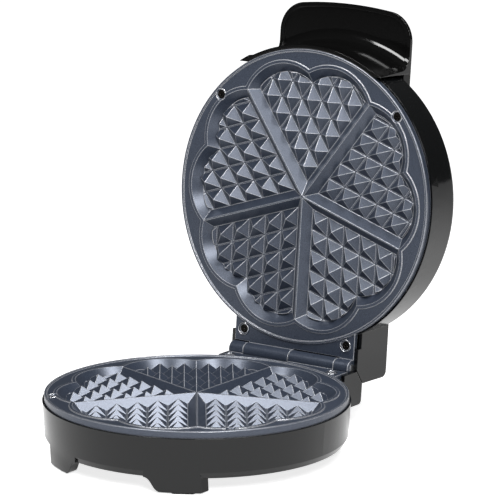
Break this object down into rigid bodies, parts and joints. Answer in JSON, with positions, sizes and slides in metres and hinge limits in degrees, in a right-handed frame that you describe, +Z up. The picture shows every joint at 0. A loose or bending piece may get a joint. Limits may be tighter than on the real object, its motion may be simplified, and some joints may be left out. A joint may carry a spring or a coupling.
{
  "type": "heart waffle maker",
  "caption": "Electric heart waffle maker with a hinged lid; two non-stick plates bake a rosette of hearts.",
  "frame": {"origin": "on the table, under the middle of the footprint with the lid open", "axes": "+X to the user's right along the hinge, +Y from the user towards the hinge, +Z up"},
  "size_m": [0.2026, 0.2775, 0.2773],
  "materials": {
    "housing": "polished black",
    "handle": "polished black",
    "cooking_plate": "dark slate non-stick coat, satin",
    "black_screw": "blackened, satin",
    "steel": "plain zinc-plated",
    "heater_tube": "heat-dulled",
    "reflector": "bright rolled sheet",
    "lead_sleeve": "woven glass sleeve",
    "terminal_body": "unglazed",
    "rubber": "matt",
    "board": "plain laminate",
    "red_lens": "clear red, polished",
    "green_lens": "clear green, polished"
  },
  "bodies": {
    "base": {"base_shell": "housing", "lower_plate": "cooking_plate", "lower_plate_screws": "black_screw", "lower_heating_element": "heater_tube", "lower_element_clamps": "steel", "lower_reflector": "reflector", "lower_reflector_screws": "steel", "lower_leads": "lead_sleeve", "terminal_block": "terminal_body", "thermal_fuse": "steel", "cord_bush": "rubber", "foot_pads": "rubber", "hinge_pin": "steel"},
    "lid": {"lid_shell": "housing", "handle": "handle", "handle_screws": "steel", "upper_plate": "cooking_plate", "upper_plate_screws": "black_screw", "upper_heating_element": "heater_tube", "upper_element_clamps": "steel", "upper_reflector": "reflector", "upper_reflector_screws": "steel", "upper_leads": "lead_sleeve", "thermostat": "terminal_body", "lamp_board": "board", "red_lamp_lens": "red_lens", "green_lamp_lens": "green_lens"}
  },
  "joints": [
    {"name": "lid_hinge", "type": "hinge", "parent": "base", "child": "lid", "pos_m": [0, 0.073, 0.042], "axis": [1, 0, 0], "range_deg": [0, 95]}
  ]
}
